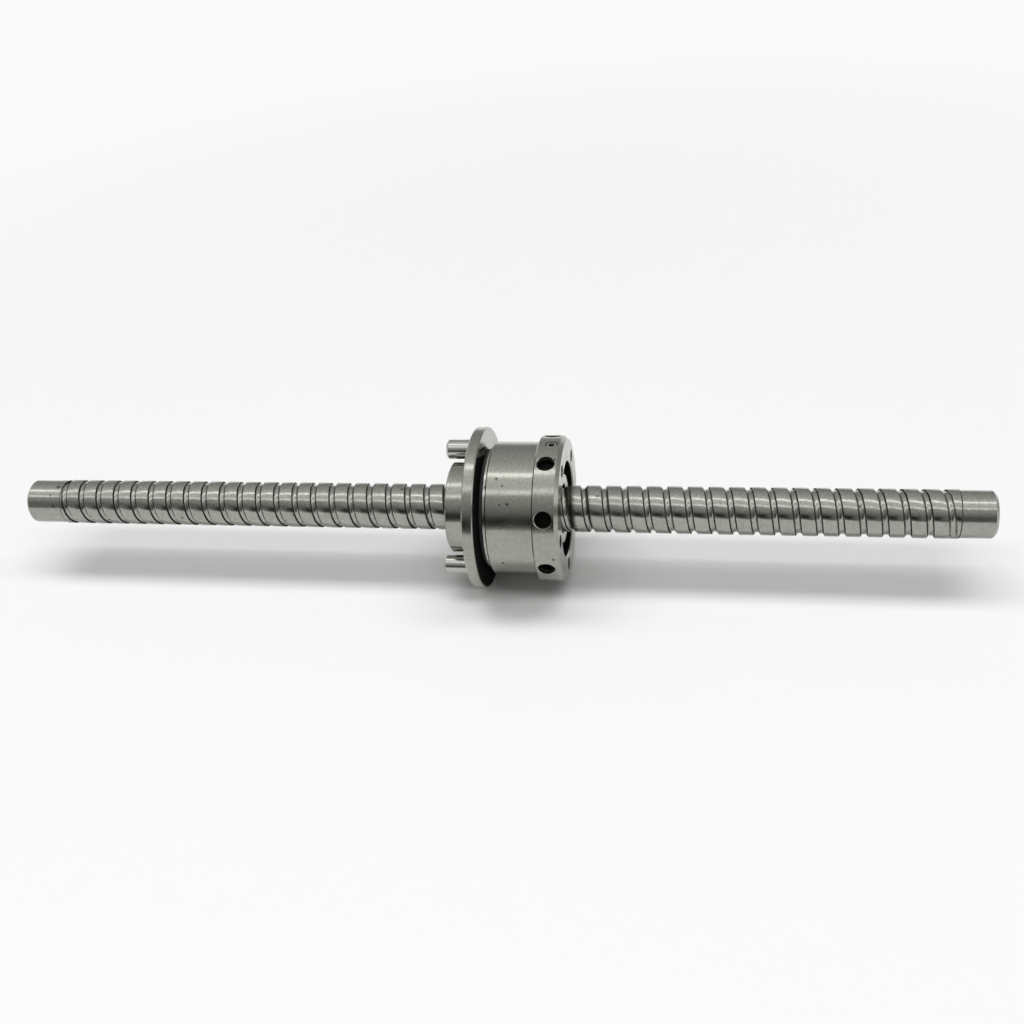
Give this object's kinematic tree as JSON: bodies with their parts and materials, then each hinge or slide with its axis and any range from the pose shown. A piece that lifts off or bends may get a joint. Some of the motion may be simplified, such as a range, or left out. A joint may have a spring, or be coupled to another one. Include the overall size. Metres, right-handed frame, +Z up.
{
  "type": "ball screw",
  "caption": "Ball screw: a steel shaft with a helical ball groove and a driven nut that turns in its own roller bearing, with a drive flange, dowel pins and a ring with spanner holes.",
  "frame": {"origin": "on the screw's axis at mid-length, in the plane of the drive face of the nut's flange", "axes": "+X along the screw from the nut's drive spigot to its clamp ring, +Z up"},
  "size_m": [0.247, 0.0406, 0.0406],
  "materials": {
    "screw_steel": "ground satin",
    "nut_steel": "finely turned satin",
    "pin_steel": "ground",
    "bearing_steel": "polished",
    "spring_steel": "satin",
    "black_steel": "black oxide",
    "soft_brass": "turned",
    "seal_rubber": "matt",
    "wiper_plastic": "matt",
    "insert_plastic": "moulded"
  },
  "bodies": {
    "screw": {"screw_shaft": "screw_steel"},
    "housing": {"housing_body": "nut_steel", "clamp_ring": "nut_steel", "clamp_screws": "black_steel", "grub_screw": "black_steel", "lock_pellet": "soft_brass", "front_shield": "nut_steel", "front_seal": "seal_rubber", "seal_carrier": "nut_steel", "rear_seal": "seal_rubber"},
    "core": {"nut_core": "nut_steel", "drive_pin_upper": "pin_steel", "drive_pin_lower": "pin_steel", "front_wiper": "wiper_plastic", "front_wiper_clip": "spring_steel", "rear_wiper": "wiper_plastic", "ball_circuit_front": "bearing_steel", "ball_circuit_rear": "bearing_steel", "deflector_front": "insert_plastic", "deflector_rear": "insert_plastic"},
    "rollers": {"crossed_rollers": "bearing_steel"}
  },
  "joints": [
    {"name": "nut_travel", "type": "slide", "parent": "screw", "child": "housing", "axis": [1, 0, 0], "range_m": [-0.105, 0.09]},
    {"name": "nut_spin", "type": "hinge", "parent": "housing", "child": "core", "pos_m": [0, 0, 0], "axis": [1, 0, 0], "range_deg": [-7567, 6487]},
    {"name": "roller_orbit", "type": "hinge", "parent": "housing", "child": "rollers", "pos_m": [0.0165, 0, 0], "axis": [1, 0, 0], "range_deg": [-3458, 2964]}
  ],
  "couplings": [
    {"joint": "nut_spin", "follows": "nut_travel", "rad_per_m": 1256.6},
    {"joint": "roller_orbit", "follows": "nut_travel", "rad_per_m": 574.57}
  ]
}
